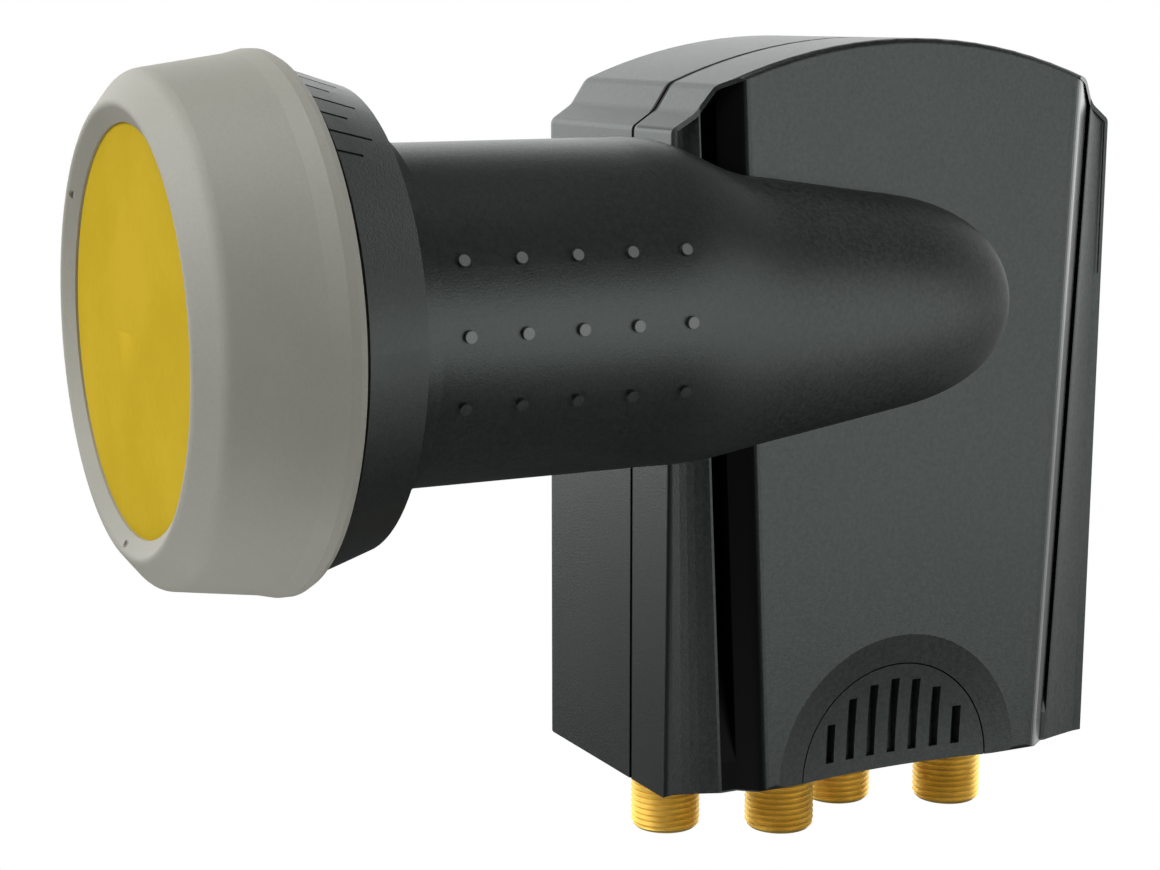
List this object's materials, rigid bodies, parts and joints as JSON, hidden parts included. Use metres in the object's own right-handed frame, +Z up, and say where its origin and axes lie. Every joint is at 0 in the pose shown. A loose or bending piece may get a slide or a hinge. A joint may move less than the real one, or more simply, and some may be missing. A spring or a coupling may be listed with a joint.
{
  "type": "satellite lnb",
  "caption": "Low-noise block downconverter for a satellite dish: round feed cap and clamping neck beside an upright housing, with threaded F sockets pointing down.",
  "frame": {"origin": "on the neck's axis, in the middle of the length that a clamp grips", "axes": "+Y along the neck from the feed cap to the housing, +X out of the broad face, +Z up, away from the sockets"},
  "size_m": [0.0668, 0.136, 0.1079],
  "materials": {
    "housing": "fine grain",
    "cap": "fine grain",
    "membrane": "satin",
    "cast_metal": "as cast",
    "lid": "rolled sheet",
    "screw": "zinc plated",
    "gold": "gold plated",
    "contact": "plated",
    "insulator": "moulded",
    "seal": "moulded",
    "board": "lacquered"
  },
  "bodies": {
    "root": {"front_housing": "housing", "rear_cover": "housing", "base_insert": "housing", "cap_ring": "cap", "feed_membrane": "membrane", "horn_tube": "cast_metal", "horn_seal": "seal", "chassis": "cast_metal", "circuit_board": "board", "first_probe": "contact", "second_probe": "contact", "chassis_lid": "lid", "lid_screws": "screw", "board_screws": "screw", "housing_screws": "screw", "socket_seals": "seal", "f_socket_1": "gold", "socket_insulator_1": "insulator", "socket_contact_1": "contact", "f_socket_2": "gold", "socket_insulator_2": "insulator", "socket_contact_2": "contact", "f_socket_3": "gold", "socket_insulator_3": "insulator", "socket_contact_3": "contact", "f_socket_4": "gold", "socket_insulator_4": "insulator", "socket_contact_4": "contact"}
  },
  "joints": []
}
